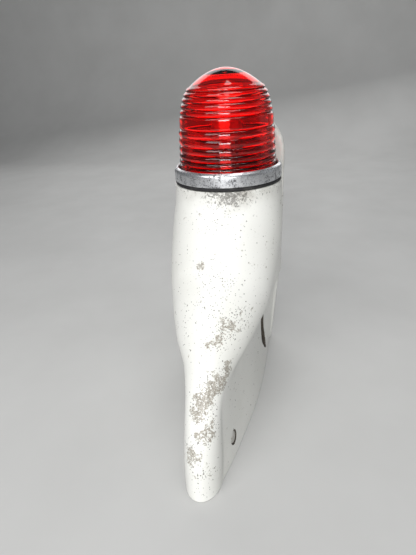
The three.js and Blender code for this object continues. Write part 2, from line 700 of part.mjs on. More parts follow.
add('housing', housing(), enamel());
add('base_plate', basePlate(), galvanised());
add('front_strap', strap(NOSE_STRAP, NOSE_SCREW), galvanised());
add('rear_strap', strap(REAR_STRAP, REAR_SCREW), galvanised());
RIVETS.forEach(([x, y], i) => add(`strap_rivet_${i + 1}`, strapRivet(), steel(), x, y));
for (const [name, side] of Object.entries(SIDE_NAMES)) {
  add(`side_screw_front_${name}`, sideScrew(NOSE_SCREW, side), steel());
  add(`side_screw_rear_${name}`, sideScrew(REAR_SCREW, side), steel());
}
add('cable_grommet', grommet(), rubber());

add('seat_gasket', ring(RING_BORE, BEZEL_RADIUS - 0.3, SEAT_Z + GAP, BEZEL_BOTTOM - GAP, 56),
  rubber());
add('bezel_ring', bezel(), chrome());
add('lens_washer', ring(37, SPIGOT_RADIUS - 0.4, SPIGOT_TOP + GAP, FLANGE_BOTTOM - GAP),
  rubber());
add('lens', lens(), finish(0xb01008, 0.12, 0));

add('bulb_glass', bulbGlass(), finish(0xd8d8d0, 0.05, 0));
add('bulb_cap', bulbCap(), brass());
add('filament_stem', filamentStem(), finish(0xb8b8b0, 0.1, 0));
add('filament', filament(), steel());
add('contact_disc', contactDisc(), finish(0x5a3218, 0.6, 0));
add('contact_plunger', contactPlunger(), brass());
add('socket_spring', socketSpring(), steel());
add('socket_shell', socketShell(), brass());
add('socket_base', socketBase(), finish(0x5a3218, 0.6, 0));
add('centre_terminal', centreTerminal(), brass());
add('socket_bracket', socketBracket(), brass());
add('earth_tag', earthTag(), steel());
const bracketTop = BRACKET_Z + BRACKET_THICKNESS;
add('bracket_screw_left', panScrew(15, 1.8, 3.6), steel(), -BOSS_X, 0,
  bracketTop + TAG + 2 * GAP);
add('bracket_screw_right', panScrew(15, 1.8, 3.6), steel(), BOSS_X, 0, bracketTop + GAP);
add('socket_rivet_1', socketRivet(), brass(), -SOCKET_RIVET_X);
add('socket_rivet_2', socketRivet(), brass(), SOCKET_RIVET_X);

add('terminal_block', terminalBlock(), finish(0x201c18, 0.5, 0));
for (const [name, side] of Object.entries(SIDE_NAMES)) {
  add(`terminal_screw_${name}`, terminalScrew(), brass(), side * TERMINAL.pitch,
    TERMINAL.y + TERMINAL.depth / 2, PLATE + GAP + 8.8);
}
add('lead_positive', lead([0, 0, 163], 1), finish(0x8a1a12, 0.55, 0));
add('lead_negative', lead([-BOSS_X, -11, bracketTop], -1), rubber());

export default light;
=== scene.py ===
import math
import random

import bmesh
import bpy
import numpy as np
from mathutils import Matrix, Vector


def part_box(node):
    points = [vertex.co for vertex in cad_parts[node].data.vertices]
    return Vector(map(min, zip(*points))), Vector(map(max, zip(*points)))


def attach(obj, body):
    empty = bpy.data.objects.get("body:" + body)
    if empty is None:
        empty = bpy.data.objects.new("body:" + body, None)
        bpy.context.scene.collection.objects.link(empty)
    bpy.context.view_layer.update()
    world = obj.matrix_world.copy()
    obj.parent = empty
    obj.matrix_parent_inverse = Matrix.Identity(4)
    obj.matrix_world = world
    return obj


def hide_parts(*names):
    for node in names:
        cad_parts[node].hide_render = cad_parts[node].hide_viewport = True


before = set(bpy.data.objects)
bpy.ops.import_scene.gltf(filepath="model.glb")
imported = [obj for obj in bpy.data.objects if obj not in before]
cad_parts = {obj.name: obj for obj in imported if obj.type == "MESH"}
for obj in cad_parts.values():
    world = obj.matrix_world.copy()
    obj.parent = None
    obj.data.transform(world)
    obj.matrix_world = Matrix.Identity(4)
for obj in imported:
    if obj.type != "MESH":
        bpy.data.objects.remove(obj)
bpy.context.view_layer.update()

# The navigation light in metres, in the CAD frame: +Z up along the lens axis,
# -Y towards the nose, +Y towards the arched shield. Shapes are built in
# millimetres and scaled once, in new_piece().
MM = 0.001
random.seed(7)
rng = np.random.default_rng(7)

# ---- dimensions, in mm, read from the frame where it holds them ------------
GAP = 0.3  # left between pieces that touch on the real light
WALL = 3.5
SEAT_Z = round(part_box("seat_gasket")[0].z / MM - GAP, 2)
BEZEL_LOW, BEZEL_HIGH = (corner.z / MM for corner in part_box("bezel_ring"))
BEZEL_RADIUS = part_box("bezel_ring")[1].x / MM
SPIGOT_RADIUS = 42.6  # crests of the thread on the neck
SPIGOT_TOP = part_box("lens_washer")[0].z / MM - GAP
LENS_FOOT, LENS_TOP = (corner.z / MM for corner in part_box("lens"))
LENS_RADIUS = 40.4  # crest of the lowest rib
FLANGE, SHELF = 3.5, 3.9  # heights over the lens's foot: its flange, the ring's shelf
SHIELD_FRONT = 47.5
BOX_MARGIN = 0.02  # keeps the rounding of floats inside the CAD's box
SHIELD_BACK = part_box("housing")[1].y / MM - BOX_MARGIN
SHIELD_SHOULDER = 204
SHIELD_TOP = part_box("housing")[1].z / MM
WAIST_Z, WAIST_DEPTH, OVERHANG_Z = 52, 5.5, 115
WAIST_FULL = 25  # half width of the foot from which the waist has its full depth
UNDERCUT, UNDERCUT_FULL, UNDERCUT_END = 4, -25, 5
FLARE_POWER, FLANK_STEP = 1.6, 2  # how the flanks open out to the shield's edge
KEEL_NOSE, KEEL_TOP = -146, 148
CROWN, CROWN_START, CROWN_FULL, CROWN_CUT, CROWN_POWER = 34, -30, 10, 0.7, 2.5
WEB = 26
BELOW = 6  # how far the outer skins reach under the base before it is cut flat
BEYOND = ((-80, -220), (80, 90))  # x and y well outside the housing
NOSE_SCREW, REAR_SCREW = (-118.5, 15.5), (9, 83)
SINK_RADIUS, SINK_DEPTH, HOLE_RADIUS = 6, 3.4, 2.8

# The horn from the lens seat to the nose: y and z of its centre line, half
# width, half depth.
HORN = np.array([
    (0, 196, 45, 45), (-2, 174, 45.8, 44.6), (-13, 152, 47, 44), (-31, 133, 45.5, 42),
    (-55, 112, 41.3, 37), (-78, 100, 34.5, 29), (-98, 89, 27, 23), (-116, 77, 17.6, 17),
    (-133, 62, 13.4, 12), (-140.5, 42, 13.5, 16), (-144.5, 20, 13.9, 19),
    (-146.5, -2, 13.7, 20),
], float)
# half width of the foot against y, and of the shield against z
FOOTPRINT = ([-165, -156, -143, -126, -105, -82, -56, -20, 7, 30],
             [6, 11.5, 14.6, 18.9, 22.7, 26.7, 30.3, 32.6, 33, 33])
SHIELD = ([0, 16, 35, 51, 70, 108, 160, 204],
          [34.5, 36.5, 38, 39.4, 41.2, 43.6, 44.4, 44.8])


# ---- curves ---------------------------------------------------------------
def smoothstep(x, low, high):
    t = np.clip((x - low) / (high - low), 0, 1)
    return t * t * (3 - 2 * t)


def spline(points, t):
    """Centripetal Catmull-Rom curve through rows of points, t from 0 to 1."""
    count = len(points) - 1
    i = min(int(t * count), count - 1)
    w = t * count - i
    p1, p2 = points[i], points[i + 1]
    p0 = points[i - 1] if i > 0 else 2 * p1 - p2
    p3 = points[i + 2] if i + 2 <= count else 2 * p2 - p1
    d0, d1, d2 = (max(np.linalg.norm(b - a) ** 0.5, 1e-6)
                  for a, b in ((p0, p1), (p1, p2), (p2, p3)))
    t1 = ((p1 - p0) / d0 - (p2 - p0) / (d0 + d1) + (p2 - p1) / d1) * d1
    t2 = ((p2 - p1) / d1 - (p3 - p1) / (d1 + d2) + (p3 - p2) / d2) * d1
    a = 2 * p1 - 2 * p2 + t1 + t2
    b = -3 * p1 + 3 * p2 - 2 * t1 - t2
    return ((a * w + b) * w + t1) * w + p1


def level(table):
    """A smooth curve of value against position, held level past its ends."""
    at, value = (np.array(row, float) for row in table)
    slope = np.gradient(value, at)
    slope[1:-1] = (value[2:] - value[:-2]) / (at[2:] - at[:-2])

    def curve(x):
        x = min(max(x, at[0]), at[-1])
        i = min(int(np.searchsorted(at, x, side="right")) - 1, len(at) - 2)
        step = at[i + 1] - at[i]
        w = (x - at[i]) / step
        h = w * w * (3 - 2 * w)
        bend = w * (1 - w) ** 2 * slope[i] - w * w * (1 - w) * slope[i + 1]
        return value[i] * (1 - h) + value[i + 1] * h + bend * step
    return curve


footprint_at = level(FOOTPRINT)
shield_at = level(SHIELD)


def horn_at(y):
    """Height and half width of the horn where its centre line passes y."""
    low, high = 0.0, 1.0
    for _ in range(24):
        middle = (low + high) / 2
        if spline(HORN[:, :2], middle)[0] > y:
            low = middle
        else:
            high = middle
    return spline(HORN[:, :2], low)[1], spline(HORN[:, 2:], low)[0]


def side_at(y, z, pod=None):
    """Half width of the side walls at a place along the housing and a height."""
    foot = footprint_at(y)
    lean = 1 - (1 - min(z / WAIST_Z, 1)) ** 2
    waist = foot - WAIST_DEPTH * lean * min(1, foot / WAIST_FULL)
    pod_z, pod_width = pod or horn_at(y)
    top = max(min(pod_z, OVERHANG_Z), WAIST_Z + 1)
    undercut = UNDERCUT * (1 - float(smoothstep(y, UNDERCUT_FULL, UNDERCUT_END)))
    rise = float(smoothstep(z, WAIST_Z, top)) ** (1 + undercut)
    wall = waist + (max(waist, pod_width) - waist) * rise
    flare = min(max(y / SHIELD_FRONT, 0), 1) ** FLARE_POWER
    return wall + (shield_at(z) - FLANK_STEP - wall) * flare


# ---- meshes ---------------------------------------------------------------
def new_piece(name, vertices, faces, material=None):
    """A mesh object from points in millimetres."""
    mesh = bpy.data.meshes.new(name)
    mesh.from_pydata([tuple(v) for v in np.asarray(vertices, float) * MM], [], faces)
    return place(name, mesh, material)


def place(name, mesh, material=None):
    """Clean a mesh, turn its faces outwards and put it in the scene."""
    work = bmesh.new()
    work.from_mesh(mesh)
    bmesh.ops.remove_doubles(work, verts=work.verts, dist=1e-6)
    bmesh.ops.recalc_face_normals(work, faces=work.faces)
    work.to_mesh(mesh)
    work.free()
    piece = bpy.data.objects.new(name, mesh)
    bpy.context.scene.collection.objects.link(piece)
    if material:
        mesh.materials.append(material)
    return piece


def loft(rings):
    """Vertices and faces of a closed skin through equal rings of points."""
    count = len(rings[0])
    faces = []
    for i in range(len(rings) - 1):
        for j in range(count):
            a, b = i * count + j, i * count + (j + 1) % count
            faces.append((a, b, b + count, a + count))
    last = (len(rings) - 1) * count
    faces.append(tuple(range(count)))
    faces.append(tuple(range(last + count - 1, last - 1, -1)))
    return np.concatenate([np.asarray(ring, float) for ring in rings]), faces


def turned(name, profile, material=None, sides=128):
    """A turned piece about Z from a closed profile, or one that ends on the axis."""
    closed = profile[0] == profile[-1]
    rows = profile[:-1] if closed else profile
    vertices, index = [], []
    for r, z in rows:
        if r < 1e-6:
            index.append([len(vertices)] * sides)
            vertices.append((0, 0, z))
            continue
        index.append(list(range(len(vertices), len(vertices) + sides)))
        for k in range(sides):
            angle = 2 * math.pi * k / sides
            vertices.append((r * math.cos(angle), r * math.sin(angle), z))
    faces = []
    for i in range(len(rows) if closed else len(rows) - 1):
        low, high = index[i], index[(i + 1) % len(rows)]
        for k in range(sides):
            n = (k + 1) % sides
            corners = list(dict.fromkeys((low[k], low[n], high[n], high[k])))
            if len(corners) > 2:
                faces.append(tuple(corners))
    return new_piece(name, vertices, faces, material)


def rounded(profile, radius, steps=4):
    """The same closed profile with its corners rounded."""
    most = 0.45  # share of an edge that one corner may take
    points = [np.array(p, float) for p in profile[:-1]]
    result = []
    for i, corner in enumerate(points):
        before, after = points[i - 1], points[(i + 1) % len(points)]
        to_before, to_after = before - corner, after - corner
        cut = min(radius, most * np.linalg.norm(to_before), most * np.linalg.norm(to_after))
        start = corner + to_before / np.linalg.norm(to_before) * cut
        end = corner + to_after / np.linalg.norm(to_after) * cut
        for k in range(steps + 1):
            w = k / steps
            result.append(tuple((1 - w) ** 2 * start + 2 * w * (1 - w) * corner + w * w * end))
    return result + [result[0]]


def applied(piece):
    """Replace a piece's mesh by its modified one."""
    graph = bpy.context.evaluated_depsgraph_get()
    mesh = bpy.data.meshes.new_from_object(piece.evaluated_get(graph))
    piece.modifiers.clear()
    old, piece.data = piece.data, mesh
    bpy.data.meshes.remove(old)
    return piece


def remesh(piece, voxel):
    """Melt a piece's overlapping skins into one, with voxels of a size in mm."""
    modifier = piece.modifiers.new("remesh", "REMESH")
    modifier.mode = "VOXEL"
    modifier.voxel_size = voxel * MM
    return applied(piece)


def boolean(piece, tool, operation, index=0):
    """Join or cut; the faces left by the tool take the material slot at index."""
    tool.data.polygons.foreach_set("material_index", [index] * len(tool.data.polygons))
    modifier = piece.modifiers.new("cut", "BOOLEAN")
    modifier.operation = operation
    modifier.solver = "MANIFOLD"
    modifier.object = tool
    applied(piece)
    discard(tool)
    return piece


def discard(piece):
    mesh = piece.data
    bpy.data.objects.remove(piece)
    bpy.data.meshes.remove(mesh)


def join(name, pieces):
    """One object that holds the meshes of several, which may still overlap."""
    work = bmesh.new()
    for piece in pieces:
        work.from_mesh(piece.data)
        discard(piece)
    mesh = bpy.data.meshes.new(name)
    work.to_mesh(mesh)
    work.free()
    return place(name, mesh)


def relax(piece, rounds, weight):
    """Smooth a mesh; weight(points in mm) says how much each point may follow."""
    mesh = piece.data
    count = len(mesh.vertices)
    points = np.empty(count * 3)
    mesh.vertices.foreach_get("co", points)
    points = points.reshape(-1, 3) / MM
    edges = np.empty(len(mesh.edges) * 2, int)
    mesh.edges.foreach_get("vertices", edges)
    a, b = edges.reshape(-1, 2).T
    degree = np.maximum(np.bincount(a, minlength=count) + np.bincount(b, minlength=count), 1)
    share = np.clip(weight(points), 0, 1) * 0.5
    for _ in range(rounds):
        mean = np.empty_like(points)
        for axis in range(3):
            values = points[:, axis]
            total = np.bincount(a, values[b], count) + np.bincount(b, values[a], count)
            mean[:, axis] = total / degree
        points += (mean - points) * share[:, None]
    mesh.vertices.foreach_set("co", (points * MM).ravel())
    mesh.update()
    return piece


def soft_shade(piece, angle=32):
    """Smooth shading that keeps edges sharper than an angle in degrees crisp."""
    mesh = piece.data
    mesh.shade_smooth()
    mesh.set_sharp_from_angle(angle=math.radians(angle))
    return piece


def block(name, low, high):
    """A box between two opposite corners."""
    corners = [(x, y, z) for x in (low[0], high[0]) for y in (low[1], high[1])
               for z in (low[2], high[2])]
    faces = [(0, 1, 3, 2), (4, 6, 7, 5), (0, 4, 5, 1),
             (2, 3, 7, 6), (0, 2, 6, 4), (1, 5, 7, 3)]
    return new_piece(name, corners, faces)


# ---- material nodes -------------------------------------------------------
class Nodes:
    """Short calls for building one material's node tree."""

    def __init__(self, name):
        self.material = bpy.data.materials.new(name)
        self.material.use_nodes = True
        self.tree = self.material.node_tree
        self.shader = self.tree.nodes["Principled BSDF"]
        self.place = self.add("ShaderNodeTexCoord").outputs["Object"]

    def add(self, kind, inputs=None, **settings):
        node = self.tree.nodes.new(kind)
        for key, value in settings.items():
            setattr(node, key, value)
        for key, value in (inputs or {}).items():
            self.put(node.inputs[key], value)
        return node

    def put(self, socket, value):
        if isinstance(value, bpy.types.NodeSocket):
            self.tree.links.new(value, socket)
        else:
            socket.default_value = value

    def set(self, **values):
        for key, value in values.items():
            self.put(self.shader.inputs[key.replace("_", " ")], value)

    def noise(self, scale, detail=4.0, roughness=0.55, distortion=0.0):
        return self.add("ShaderNodeTexNoise", {
            "Vector": self.place, "Scale": scale, "Detail": detail, "Roughness": roughness,
            "Distortion": distortion}).outputs["Fac"]

    def cells(self, scale):
        return self.add("ShaderNodeTexVoronoi", {"Vector": self.place, "Scale": scale})

    def remap(self, value, low, high, to_low=0.0, to_high=1.0, smooth=False):
        return self.add("ShaderNodeMapRange", {
            "Value": value, "From Min": low, "From Max": high, "To Min": to_low,
            "To Max": to_high},
            interpolation_type="SMOOTHSTEP" if smooth else "LINEAR").outputs["Result"]

    def math(self, operation, a, b=0.0, clamp=False):
        node = self.add("ShaderNodeMath", operation=operation, use_clamp=clamp)
        self.put(node.inputs[0], a)
        self.put(node.inputs[1], b)
        return node.outputs[0]

    def mix(self, factor, a, b):
        node = self.add("ShaderNodeMix", data_type="RGBA")
        self.put(node.inputs["Factor"], factor)
        for index, value in ((6, a), (7, b)):
            color = (*value, 1.0) if isinstance(value, tuple) else value
            self.put(node.inputs[index], color)
        return node.outputs[2]

    def blend(self, factor, a, b):
        node = self.add("ShaderNodeMix", data_type="FLOAT")
        for index, value in ((0, factor), (2, a), (3, b)):
            self.put(node.inputs[index], value)
        return node.outputs[0]

    def axis(self, name):
        return self.add("ShaderNodeSeparateXYZ", {"Vector": self.place}).outputs[name]

    def near(self, point, reach, stretch=(1, 1, 1)):
        """1 at a point in mm, falling smoothly to 0 at reach mm."""
        shifted = self.add("ShaderNodeVectorMath", {
            0: self.place, 1: tuple(v * MM for v in point)}, operation="SUBTRACT").outputs[0]
        shifted = self.add("ShaderNodeVectorMath", {0: shifted, 1: stretch},
                           operation="MULTIPLY").outputs[0]
        length = self.add("ShaderNodeVectorMath", {0: shifted},
                          operation="LENGTH").outputs["Value"]
        return self.remap(length, 0, reach * MM, 1, 0, smooth=True)

    def bump(self, height, distance, strength=1.0, under=None):
        inputs = {"Height": height, "Distance": distance * MM, "Strength": strength}
        if under is not None:
            inputs["Normal"] = under
        return self.add("ShaderNodeBump", inputs).outputs["Normal"]


# Places where the enamel has worn off down the ridge of the nose: centre and
# reach in mm, how dense the flecks are there, how far they run together.
WEAR = [
    ((-10, -75, 141), 7, 0.9, 0.75), ((0, -79, 137), 20, 0.4, 0.0),
    ((14, -82, 131), 13, 0.5, 0.2), ((-5, -96, 121), 11, 0.5, 0.25),
    ((22, -96, 111), 15, 0.9, 0.5), ((14, -105, 109), 16, 1.0, 0.66),
    ((8, -114, 102), 15, 0.8, 0.72), ((2, -118, 99), 9, 0.7, 0.7),
    ((15, -122, 83), 11, 0.9, 1.0), ((12, -128, 79), 13, 1.0, 1.0),
    ((7, -135, 76), 14, 1.0, 1.05), ((2, -142, 70), 15, 1.0, 1.05),
    ((-1, -146, 63), 12, 0.9, 0.9), ((8, -149, 53), 12, 0.9, 0.72),
    ((3, -154, 48), 12, 0.9, 0.78), ((-3, -158, 39), 13, 0.9, 0.78),
    ((-6, -159, 31), 10, 0.8, 0.62), ((4, -161, 22), 13, 0.6, 0.3),
    ((1, -163, 12), 10, 0.4, 0.0), ((0, -50, 175), 30, 0.16, 0.0),
    ((0, -100, 115), 50, 0.16, 0.0),
]


def enamel():
    """Off-white enamel on cast alloy: stains, pinholes, worn bare patches, and a painted shadow of
    the ring just under the seat.
    """
    n = Nodes("white_enamel")
    height = n.axis("Z")
    fleck_zone = solid_zone = 0.0
    for centre, reach, flecks, solid in WEAR:
        zone = n.near(centre, reach)
        fleck_zone = n.math("MAXIMUM", fleck_zone, n.math("MULTIPLY", zone, flecks))
        if solid:
            solid_zone = n.math("MAXIMUM", solid_zone, n.math("MULTIPLY", zone, solid))
    crumbs = n.noise(420, 5, 0.6)
    lumps = n.noise(130, 6, 0.68, distortion=0.3)
    worn = n.math("ADD", n.math("MULTIPLY", lumps, 0.65), n.math("MULTIPLY", crumbs, 0.35))
    worn = n.math("ADD", worn, n.math("MULTIPLY", solid_zone, 0.19))
    kept = n.remap(n.noise(900, 4, 0.6), 0.54, 0.60)
    chip = n.math("MULTIPLY", n.remap(worn, 0.61, 0.635), n.math("SUBTRACT", 1.0, kept))

    ragged = n.math("MULTIPLY", n.math("SUBTRACT", n.noise(1500, 2), 0.5), 0.45)

    def dots(scale, share, low, high, channel):
        cells = n.cells(scale)
        pick = n.add("ShaderNodeSeparateColor", {"Color": cells.outputs["Color"]}).outputs[channel]
        chance = n.math("ADD", n.math("MULTIPLY", fleck_zone, share), 0.007)
        chosen = n.math("LESS_THAN", pick, chance)
        reach = n.math("ADD", cells.outputs["Distance"], ragged)
        return n.math("MULTIPLY", chosen, n.remap(reach, low, high, 1, 0))
    flecks = n.math("MAXIMUM", dots(560, 0.42, 0.20, 0.36, "Red"),
                    dots(1000, 0.50, 0.24, 0.42, "Green"))
    big_dots = dots(260, 0.05, 0.10, 0.22, "Blue")
    # rim is the band just under the seat and cloud is the front of the horn just below it. Both
    # set the painted shadow of the ring further down, and the density of dark specks.
    rim = n.remap(height, (SEAT_Z - 16) * MM, SEAT_Z * MM, 0, 1, smooth=True)
    above = n.remap(height, (SEAT_Z + 1) * MM, (SEAT_Z + 2) * MM, 1, 0)
    cloud = n.near((8, -45, 186), 22, (0.8, 1, 1.3))
    dirt = n.math("ADD", n.math("MULTIPLY", rim, 0.07), n.math("MULTIPLY", cloud, 0.16))
    soot = n.remap(n.math("ADD", n.noise(520, 6, 0.7), dirt), 0.64, 0.70)
    soot = n.math("MULTIPLY", n.math("MULTIPLY", soot, above), 0.8)
    spots = n.math("MAXIMUM", n.math("MAXIMUM", flecks, big_dots), soot, clamp=True)

    tint = n.mix(n.remap(n.noise(14, 3), 0.35, 0.7), (0.80, 0.80, 0.765), (0.75, 0.75, 0.705))
    # Painted shadow of the ring: the enamel is darkened unevenly in a band under the seat, most at
    # the front just below it.
    painted_ring_shadow = n.math("MULTIPLY", n.math("ADD", n.math("MULTIPLY", rim, 0.5), cloud, clamp=True),
                   n.remap(n.noise(110, 5), 0.3, 0.65))
    tint = n.mix(n.math("MULTIPLY", painted_ring_shadow, 0.75), tint, (0.40, 0.38, 0.34))
    bare = n.mix(n.remap(n.noise(800, 5), 0.35, 0.65), (0.47, 0.44, 0.385), (0.25, 0.23, 0.195))
    color = n.mix(n.math("MULTIPLY", spots, 0.9), tint, (0.085, 0.08, 0.07))
    color = n.mix(chip, color, bare)
    n.set(Base_Color=color)
    gloss = n.remap(n.noise(40, 3), 0.3, 0.7, 0.34, 0.46)
    n.set(Roughness=n.blend(n.math("MAXIMUM", chip, spots), gloss, 0.8))
    n.set(Coat_Weight=0.3, Coat_Roughness=0.22, IOR=1.45)
    skin = n.bump(n.noise(700, 2), 0.02, 0.35)
    waves = n.bump(n.noise(28, 2), 0.5, 0.25, skin)
    pits = n.bump(n.math("MAXIMUM", chip, spots), 0.18, -0.9, waves)
    n.set(Normal=pits)
    return n.material


def pitted_chrome():
    """Dulled chrome plate, mottled and pitted through to the brass below."""
    n = Nodes("pitted_chrome")
    cloud = n.noise(210, 6, 0.7)
    fine = n.noise(900, 5, 0.7)
    pit = n.remap(n.math("ADD", n.math("MULTIPLY", cloud, 0.45), n.math("MULTIPLY", fine, 0.55)),
                  0.515, 0.565)
    tone = n.mix(n.remap(cloud, 0.38, 0.62), (0.80, 0.81, 0.83), (0.54, 0.55, 0.57))
    n.set(Base_Color=n.mix(n.math("MULTIPLY", pit, 0.88), tone, (0.085, 0.085, 0.09)))
    n.set(Metallic=n.remap(pit, 0, 1, 0.95, 0.45))
    n.set(Roughness=n.blend(pit, n.remap(cloud, 0.3, 0.7, 0.22, 0.42), 0.75))
    n.set(Normal=n.bump(pit, 0.12, -0.8, n.bump(fine, 0.03, 0.4)))
    return n.material


def rubber():
    n = Nodes("black_rubber")
    dust = n.remap(n.noise(120, 5), 0.5, 0.75)
    n.set(Base_Color=n.mix(dust, (0.012, 0.012, 0.013), (0.05, 0.048, 0.045)))
    n.set(Roughness=n.remap(n.noise(90, 3), 0.3, 0.7, 0.55, 0.85))
    n.set(Normal=n.bump(n.noise(600, 3), 0.04, 0.5))
    return n.material


def red_glass():
    """Clear deep red pressed glass with slight waves and a few specks of dirt."""
    n = Nodes("red_glass")
    n.set(Transmission_Weight=1.0, IOR=1.5, Specular_IOR_Level=0.35)
    speck = n.remap(n.noise(520, 6, 0.7), 0.715, 0.76)
    n.set(Base_Color=n.mix(n.math("MULTIPLY", speck, 0.75), (0.96, 0.016, 0.010),
                           (0.20, 0.012, 0.01)))
    n.set(Roughness=n.blend(speck, n.remap(n.noise(70, 3), 0.35, 0.7, 0.012, 0.05), 0.5))
    n.set(Normal=n.bump(n.noise(55, 2), 0.10, 0.25))
    return n.material


def bulb_glass():
    """Frosted bulb glass, its tone a little uneven."""
    n = Nodes("bulb_glass")
    n.set(Transmission_Weight=0.35, IOR=1.45)
    n.set(Base_Color=n.mix(n.remap(n.noise(40, 3), 0.4, 0.7), (0.95, 0.94, 0.92),
                           (0.84, 0.82, 0.78)))
    n.set(Roughness=n.remap(n.noise(90, 3), 0.3, 0.7, 0.25, 0.40))
    return n.material


def metal(name, clean, tarnish, rough=(0.25, 0.45), scale=160, amount=(0.45, 0.7)):
    """A metal that is clean in places and tarnished in others."""
    n = Nodes(name)
    spread = n.remap(n.noise(scale, 5, 0.6), *amount)
    n.set(Base_Color=n.mix(spread, clean, tarnish))
    n.set(Metallic=n.remap(spread, 0, 1, 1.0, 0.7))
    n.set(Roughness=n.blend(spread, rough[0], rough[1]))
    n.set(Normal=n.bump(n.noise(scale * 4, 4), 0.03, 0.5))
    return n.material


def galvanised():
    """Zinc-coated sheet with its frost-like spangle."""
    n = Nodes("galvanised_sheet")
    spangle = n.cells(150)
    shade = n.add("ShaderNodeSeparateColor", {"Color": spangle.outputs["Color"]}).outputs["Red"]
    n.set(Base_Color=n.mix(shade, (0.36, 0.37, 0.38), (0.55, 0.56, 0.57)))
    n.set(Metallic=0.85, Roughness=n.remap(shade, 0, 1, 0.35, 0.6))
    n.set(Normal=n.bump(n.noise(300, 4), 0.03, 0.4))
    return n.material


def plastic(name, color, dark, rough=(0.4, 0.6), scale=80):
    n = Nodes(name)
    n.set(Base_Color=n.mix(n.remap(n.noise(scale, 4), 0.35, 0.7), color, dark))
    n.set(Roughness=n.remap(n.noise(scale * 2, 3), 0.3, 0.7, *rough))
    n.set(Normal=n.bump(n.noise(scale * 8, 3), 0.02, 0.5))
    return n.material


def raw_casting_and_shade():
    """Bare, dull inside of the casting, brown with old dirt, and coloured far darker than bare
    alloy as painted shade inside the hollow and the slot.
    """
    n = Nodes("raw_casting_and_shade")
    stain = n.remap(n.noise(60, 5), 0.35, 0.65)
    n.set(Base_Color=n.mix(stain, (0.13, 0.115, 0.095), (0.05, 0.04, 0.03)))
    n.set(Metallic=0.3, Roughness=n.remap(n.noise(200, 3), 0.3, 0.7, 0.55, 0.85))
    n.set(Normal=n.bump(n.noise(260, 5), 0.25, 0.6))
    return n.material


ENAMEL = enamel()
CASTING_AND_SHADE = raw_casting_and_shade()
CHROME = pitted_chrome()
RUBBER = rubber()
LENS_GLASS = red_glass()
BULB_GLASS = bulb_glass()
BRASS = metal("tarnished_brass", (0.62, 0.45, 0.20), (0.24, 0.16, 0.07))
STEEL = metal("tarnished_steel", (0.56, 0.56, 0.55), (0.22, 0.20, 0.18), (0.3, 0.6), 260)
SCREW_STEEL = metal("screw_steel", (0.78, 0.77, 0.74), (0.42, 0.39, 0.34), (0.35, 0.6), 380)
GALVANISED = galvanised()
BAKELITE = plastic("brown_bakelite", (0.085, 0.035, 0.016), (0.045, 0.018, 0.01), (0.3, 0.5))
RED_LEAD = plastic("red_insulation", (0.40, 0.022, 0.016), (0.28, 0.02, 0.015))
BLACK_LEAD = plastic("black_insulation", (0.018, 0.018, 0.02), (0.035, 0.034, 0.033))


# ---- camera, floor and lights ---------------------------------------------
def stage():
    """Pale floor, soft studio light, and the camera."""
    scene = bpy.context.scene
    camera = bpy.data.cameras.new("camera")
    camera.sensor_width = 36
    camera.lens = 27.1
    camera.clip_start = 0.01
    stand, look, roll = (62.2, -353.6, 272.1), (-0.2113, 0.8737, -0.4382), 0.0623
    eye = bpy.data.objects.new("camera", camera)
    forward = Vector(look).normalized()
    right = forward.cross(Vector((0, 0, 1))).normalized()
    up = right.cross(forward)
    tilted = right * math.cos(roll) - up * math.sin(roll)
    upright = right * math.sin(roll) + up * math.cos(roll)
    turn = Matrix((tilted, upright, -forward)).transposed().to_4x4()
    eye.matrix_world = Matrix.Translation(Vector(stand) * MM) @ turn
    scene.collection.objects.link(eye)
    scene.camera = eye

    floor_paint = plastic("floor_paint", (0.56, 0.56, 0.55), (0.52, 0.52, 0.51), (0.6, 0.8), 6)
    size, rise, radius, steps = 1600, 1400, 500, 12
    under = 0.0004  # the floor lies this far under the base, in metres
    rings = []
    for x in (-size, size):
        ring = [(x, -size, 0), (x, size - radius, 0)]
        for k in range(1, steps + 1):
            angle = math.pi / 2 * k / steps
            ring.append((x, size - radius + radius * math.sin(angle),
                         radius - radius * math.cos(angle)))
        ring.append((x, size, rise))
        rings.append(ring)
    count = len(rings[0])
    faces = [(i, i + 1, i + 1 + count, i + count) for i in range(count - 1)]
    floor = new_piece("floor", rings[0] + rings[1], faces, floor_paint)
    floor.data.shade_smooth()
    floor.location.z = -under

    middle = Vector((0, -0.03, 0.13))

    def softbox(name, place, size, power, color=(1, 1, 1)):
        """An area light that faces the middle of the part."""
        light = bpy.data.lights.new(name, "AREA")
        light.shape = "RECTANGLE"
        light.size, light.size_y = size
        light.energy = power
        light.color = color
        lamp = bpy.data.objects.new(name, light)
        lamp.location = place
        lamp.rotation_euler = (middle - Vector(place)).to_track_quat("-Z", "Y").to_euler()
        scene.collection.objects.link(lamp)

    softbox("key", (-0.40, -0.75, 0.95), (0.6, 0.6), 4.5)
    softbox("front", (0.12, -1.5, 0.60), (0.7, 0.6), 19)
    softbox("fill", (0.95, 0.35, 0.55), (0.7, 0.9), 0.4, (0.95, 0.97, 1.0))
    softbox("top", (0.15, -0.10, 1.25), (0.6, 0.6), 4)
    softbox("back", (-0.2, 1.15, 0.75), (1.6, 0.9), 6)
    world = bpy.data.worlds.new("studio")
    world.use_nodes = True
    background = world.node_tree.nodes["Background"]
    background.inputs["Color"].default_value = (0.93, 0.96, 1.0, 1)
    background.inputs["Strength"].default_value = 0.12
    scene.world = world
    scene.view_settings.view_transform = "Standard"


stage()


